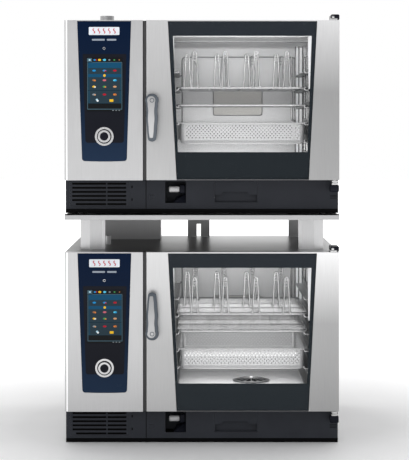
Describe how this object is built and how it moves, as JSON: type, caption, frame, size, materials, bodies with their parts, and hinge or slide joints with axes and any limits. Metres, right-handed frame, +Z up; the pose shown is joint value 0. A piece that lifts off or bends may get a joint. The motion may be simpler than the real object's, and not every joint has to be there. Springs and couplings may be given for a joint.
{
  "type": "combi steamer oven",
  "caption": "Stacked pair of combi steamer ovens with glass doors, touch panels, dials, service panels and a stacking frame, trays and racks inside.",
  "frame": {"origin": "on the floor at the middle of the bounding box", "axes": "+Z up, the fronts face -Y, +X to the right as seen from the front"},
  "size_m": [1.072, 1.102, 1.7194],
  "materials": {
    "front_steel": "fine vertical brush",
    "casing_steel": "fine horizontal brush",
    "skirt": "matte black",
    "panel_gloss": "gloss dark blue",
    "dial_dark": "gloss dark grey",
    "dial_chrome": "satin ring",
    "service_panel": "satin dark grey",
    "shower_metal": "satin",
    "chamber_steel": "satin hygienic steel",
    "door_glass": "tinted toughened glass with a printed dark border",
    "clear_glass": "clear heat-resistant glass",
    "handle_plastic": "satin dark blue-grey with a light steel insert",
    "screen": "lit glass screen",
    "hinge_metal": "satin",
    "gasket": "matte black",
    "coil": "heat-darkened",
    "motor": "dark grey",
    "rack_wire": "polished wire",
    "tray_steel": "bright steel",
    "boards": "circuit board green",
    "pipe_plastic": "black",
    "stack_steel": "light satin steel"
  },
  "bodies": {
    "ovens": {"lower_side_panels": "casing_steel", "lower_top_panel": "casing_steel", "lower_base_frame": "skirt", "lower_fascia": "front_steel", "lower_control_panel": "panel_gloss", "lower_lower_panel": "service_panel", "lower_chamber": "chamber_steel", "upper_side_panels": "casing_steel", "upper_top_panel": "casing_steel", "upper_base_frame": "skirt", "upper_fascia": "front_steel", "upper_control_panel": "panel_gloss", "upper_lower_panel": "service_panel", "upper_chamber": "chamber_steel", "rear_panels": "casing_steel", "touch_screens": "screen", "dial_surrounds": "dial_chrome", "door_hinges": "hinge_metal", "door_latches": "hinge_metal", "door_gaskets": "gasket", "air_baffles": "chamber_steel", "heater_coils": "coil", "fan_motors": "motor", "drain_strainers": "chamber_steel", "hanging_racks": "rack_wire", "grid_shelves": "rack_wire", "spike_racks": "rack_wire", "gn_containers": "tray_steel", "control_boards": "boards", "steam_generators": "chamber_steel", "rear_connections": "pipe_plastic", "vent_pipes": "casing_steel", "stack_frame": "stack_steel", "stack_front_posts": "stack_steel", "stack_rear_posts": "stack_steel", "exhaust_duct": "stack_steel"},
    "lower_door": {"lower_door_frame": "front_steel", "lower_door_back": "chamber_steel", "lower_door_outer_glass": "door_glass", "lower_door_inner_glass": "clear_glass"},
    "lower_door_handle": {"lower_door_handle": "handle_plastic"},
    "lower_dial_button": {"lower_dial_shaft": "dial_dark"},
    "lower_dial_ring": {"lower_dial": "dial_chrome"},
    "lower_filter": {"lower_filter_grille": "service_panel"},
    "lower_usb_flap": {"lower_usb_flap": "service_panel"},
    "lower_shower": {"lower_hand_shower": "shower_metal"},
    "lower_drawer": {"lower_care_drawer": "service_panel"},
    "lower_fan": {"lower_fan_wheel": "chamber_steel"},
    "upper_door": {"upper_door_frame": "front_steel", "upper_door_back": "chamber_steel", "upper_door_outer_glass": "door_glass", "upper_door_inner_glass": "clear_glass"},
    "upper_door_handle": {"upper_door_handle": "handle_plastic"},
    "upper_dial_button": {"upper_dial_shaft": "dial_dark"},
    "upper_dial_ring": {"upper_dial": "dial_chrome"},
    "upper_filter": {"upper_filter_grille": "service_panel"},
    "upper_usb_flap": {"upper_usb_flap": "service_panel"},
    "upper_shower": {"upper_hand_shower": "shower_metal"},
    "upper_drawer": {"upper_care_drawer": "service_panel"},
    "upper_fan": {"upper_fan_wheel": "chamber_steel"}
  },
  "joints": [
    {"name": "lower_door_swing", "type": "hinge", "parent": "ovens", "child": "lower_door", "pos_m": [0.518, -0.471, 0.44], "axis": [0, 0, 1], "range_deg": [0, 180]},
    {"name": "lower_handle_turn", "type": "hinge", "parent": "lower_door", "child": "lower_door_handle", "pos_m": [-0.193, -0.491, 0.4415], "axis": [0, 1, 0], "range_deg": [-90, 90], "stiffness_Nm_per_rad": 1.5},
    {"name": "lower_dial_press", "type": "slide", "parent": "ovens", "child": "lower_dial_button", "axis": [0, 1, 0], "range_m": [0, 0.0018], "stiffness_N_per_m": 900},
    {"name": "lower_dial_turn", "type": "hinge", "parent": "lower_dial_button", "child": "lower_dial_ring", "pos_m": [-0.3805, -0.497, 0.3015], "axis": [0, 1, 0], "continuous": true},
    {"name": "lower_filter_slide", "type": "slide", "parent": "ovens", "child": "lower_filter", "axis": [0, -1, 0], "range_m": [0, 0.06]},
    {"name": "lower_usb_flap_lift", "type": "hinge", "parent": "ovens", "child": "lower_usb_flap", "pos_m": [-0.19775, -0.4327, 0.069], "axis": [-1, 0, 0], "range_deg": [0, 100]},
    {"name": "lower_shower_pull", "type": "slide", "parent": "ovens", "child": "lower_shower", "axis": [0, -1, 0], "range_m": [0, 0.09]},
    {"name": "lower_drawer_slide", "type": "slide", "parent": "ovens", "child": "lower_drawer", "axis": [0, -1, 0], "range_m": [0, 0.24]},
    {"name": "lower_fan_spin", "type": "hinge", "parent": "ovens", "child": "lower_fan", "pos_m": [-0.165, -0.031, 0.44], "axis": [1, 0, 0], "continuous": true},
    {"name": "upper_door_swing", "type": "hinge", "parent": "ovens", "child": "upper_door", "pos_m": [0.518, -0.471, 1.345], "axis": [0, 0, 1], "range_deg": [0, 180]},
    {"name": "upper_handle_turn", "type": "hinge", "parent": "upper_door", "child": "upper_door_handle", "pos_m": [-0.193, -0.491, 1.3465], "axis": [0, 1, 0], "range_deg": [-90, 90], "stiffness_Nm_per_rad": 1.5},
    {"name": "upper_dial_press", "type": "slide", "parent": "ovens", "child": "upper_dial_button", "axis": [0, 1, 0], "range_m": [0, 0.0018], "stiffness_N_per_m": 900},
    {"name": "upper_dial_turn", "type": "hinge", "parent": "upper_dial_button", "child": "upper_dial_ring", "pos_m": [-0.3805, -0.497, 1.2065], "axis": [0, 1, 0], "continuous": true},
    {"name": "upper_filter_slide", "type": "slide", "parent": "ovens", "child": "upper_filter", "axis": [0, -1, 0], "range_m": [0, 0.06]},
    {"name": "upper_usb_flap_lift", "type": "hinge", "parent": "ovens", "child": "upper_usb_flap", "pos_m": [-0.19775, -0.4327, 0.974], "axis": [-1, 0, 0], "range_deg": [0, 100]},
    {"name": "upper_shower_pull", "type": "slide", "parent": "ovens", "child": "upper_shower", "axis": [0, -1, 0], "range_m": [0, 0.09]},
    {"name": "upper_drawer_slide", "type": "slide", "parent": "ovens", "child": "upper_drawer", "axis": [0, -1, 0], "range_m": [0, 0.24]},
    {"name": "upper_fan_spin", "type": "hinge", "parent": "ovens", "child": "upper_fan", "pos_m": [-0.165, -0.031, 1.345], "axis": [1, 0, 0], "continuous": true}
  ]
}
